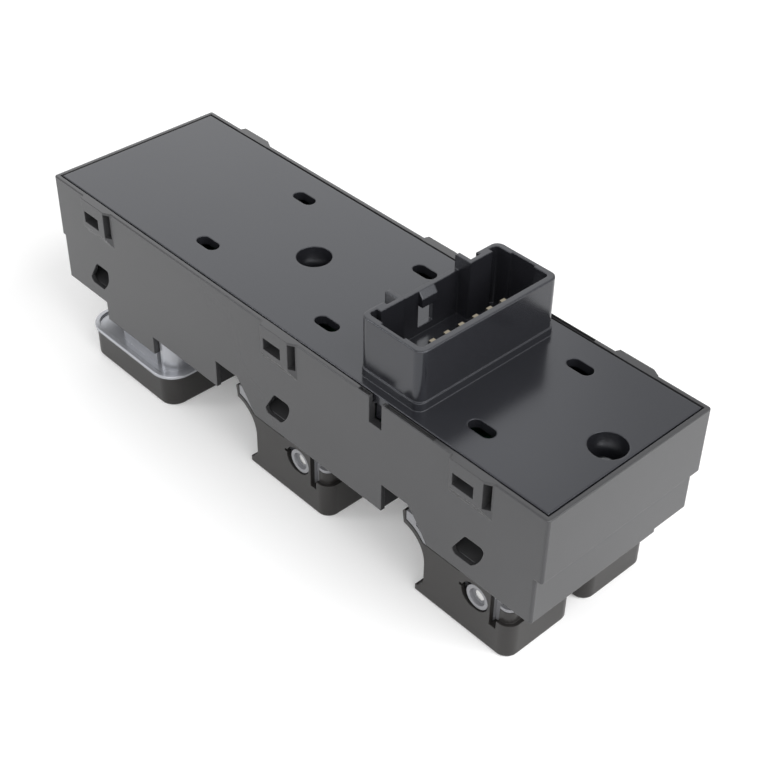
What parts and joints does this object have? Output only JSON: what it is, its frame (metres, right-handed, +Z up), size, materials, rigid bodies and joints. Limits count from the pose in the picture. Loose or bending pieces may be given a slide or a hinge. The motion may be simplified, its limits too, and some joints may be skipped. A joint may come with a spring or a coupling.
{
  "type": "power window switch",
  "caption": "Master switch block for power windows, with tilting rockers, a wide push button and a plug socket on the back cover, lying on its control faces.",
  "frame": {"origin": "under the middle of the case, in the plane of the control faces that it lies on", "axes": "+X along the case towards the end beyond the plug socket, +Y across it, +Z up from the control faces to the back cover"},
  "size_m": [0.1608, 0.051, 0.0619],
  "materials": {
    "case_plastic": "dark grey moulded plastic with a fine satin sheen",
    "cover_plastic": "dark grey moulded plastic, fairly glossy",
    "cap_plastic": "warm black soft-touch plastic",
    "silver_plastic": "bright silver plastic",
    "carrier_plastic": "light grey moulded plastic",
    "board": "green glass-fibre circuit board",
    "header_plastic": "black moulded plastic",
    "pin_plating": "pale plated brass",
    "contact_brass": "bright spring brass",
    "screw_steel": "zinc-plated steel",
    "pin_steel": "turned bright steel",
    "spring_steel": "drawn spring steel"
  },
  "bodies": {
    "case": {"housing": "case_plastic", "back_cover": "cover_plastic", "circuit_board": "board", "pin_header": "header_plastic", "terminal_pins": "pin_plating", "cover_screws": "screw_steel", "pivot_pins": "pin_steel", "lock_switch_body": "header_plastic", "lock_spring": "spring_steel"},
    "lock_button": {"lock_cap": "cap_plastic", "lock_frame": "silver_plastic", "lock_plunger": "carrier_plastic"},
    "rocker_near_middle": {"rocker_cap_near_middle": "cap_plastic", "rocker_carrier_near_middle": "carrier_plastic", "detent_plunger_near_middle": "header_plastic", "detent_spring_near_middle": "spring_steel"},
    "slider_near_middle": {"contact_slider_near_middle": "header_plastic", "wiper_contact_near_middle": "contact_brass"},
    "rocker_near_end": {"rocker_cap_near_end": "cap_plastic", "rocker_carrier_near_end": "carrier_plastic", "detent_plunger_near_end": "header_plastic", "detent_spring_near_end": "spring_steel"},
    "slider_near_end": {"contact_slider_near_end": "header_plastic", "wiper_contact_near_end": "contact_brass"},
    "rocker_far_middle": {"rocker_cap_far_middle": "cap_plastic", "rocker_carrier_far_middle": "carrier_plastic", "detent_plunger_far_middle": "header_plastic", "detent_spring_far_middle": "spring_steel"},
    "slider_far_middle": {"contact_slider_far_middle": "header_plastic", "wiper_contact_far_middle": "contact_brass"},
    "rocker_far_end": {"rocker_cap_far_end": "cap_plastic", "rocker_carrier_far_end": "carrier_plastic", "detent_plunger_far_end": "header_plastic", "detent_spring_far_end": "spring_steel"},
    "slider_far_end": {"contact_slider_far_end": "header_plastic", "wiper_contact_far_end": "contact_brass"}
  },
  "joints": [
    {"name": "lock_press", "type": "slide", "parent": "case", "child": "lock_button", "axis": [0, 0, 1], "range_m": [0, 0.0025], "stiffness_N_per_m": 1500, "springref_m": -0.001, "deforming": ["lock_spring"]},
    {"name": "rocker_near_middle_tilt", "type": "hinge", "parent": "case", "child": "rocker_near_middle", "pos_m": [0.0072, -0.01195, 0.0116], "axis": [0, 1, 0], "range_deg": [-7, 7], "stiffness_Nm_per_rad": 0.5},
    {"name": "slider_near_middle_slide", "type": "slide", "parent": "case", "child": "slider_near_middle", "axis": [1, 0, 0], "range_m": [-0.0028, 0.0028]},
    {"name": "rocker_near_end_tilt", "type": "hinge", "parent": "case", "child": "rocker_near_end", "pos_m": [0.0626, -0.01195, 0.0116], "axis": [0, 1, 0], "range_deg": [-7, 7], "stiffness_Nm_per_rad": 0.5},
    {"name": "slider_near_end_slide", "type": "slide", "parent": "case", "child": "slider_near_end", "axis": [1, 0, 0], "range_m": [-0.0028, 0.0028]},
    {"name": "rocker_far_middle_tilt", "type": "hinge", "parent": "case", "child": "rocker_far_middle", "pos_m": [0.0072, 0.01195, 0.0116], "axis": [0, 1, 0], "range_deg": [-7, 7], "stiffness_Nm_per_rad": 0.5},
    {"name": "slider_far_middle_slide", "type": "slide", "parent": "case", "child": "slider_far_middle", "axis": [1, 0, 0], "range_m": [-0.0028, 0.0028]},
    {"name": "rocker_far_end_tilt", "type": "hinge", "parent": "case", "child": "rocker_far_end", "pos_m": [0.0626, 0.01195, 0.0116], "axis": [0, 1, 0], "range_deg": [-7, 7], "stiffness_Nm_per_rad": 0.5},
    {"name": "slider_far_end_slide", "type": "slide", "parent": "case", "child": "slider_far_end", "axis": [1, 0, 0], "range_m": [-0.0028, 0.0028]}
  ],
  "couplings": [
    {"joint": "slider_near_middle_slide", "follows": "rocker_near_middle_tilt", "m_per_rad": 0.0219},
    {"joint": "slider_near_end_slide", "follows": "rocker_near_end_tilt", "m_per_rad": 0.0219},
    {"joint": "slider_far_middle_slide", "follows": "rocker_far_middle_tilt", "m_per_rad": 0.0219},
    {"joint": "slider_far_end_slide", "follows": "rocker_far_end_tilt", "m_per_rad": 0.0219}
  ]
}
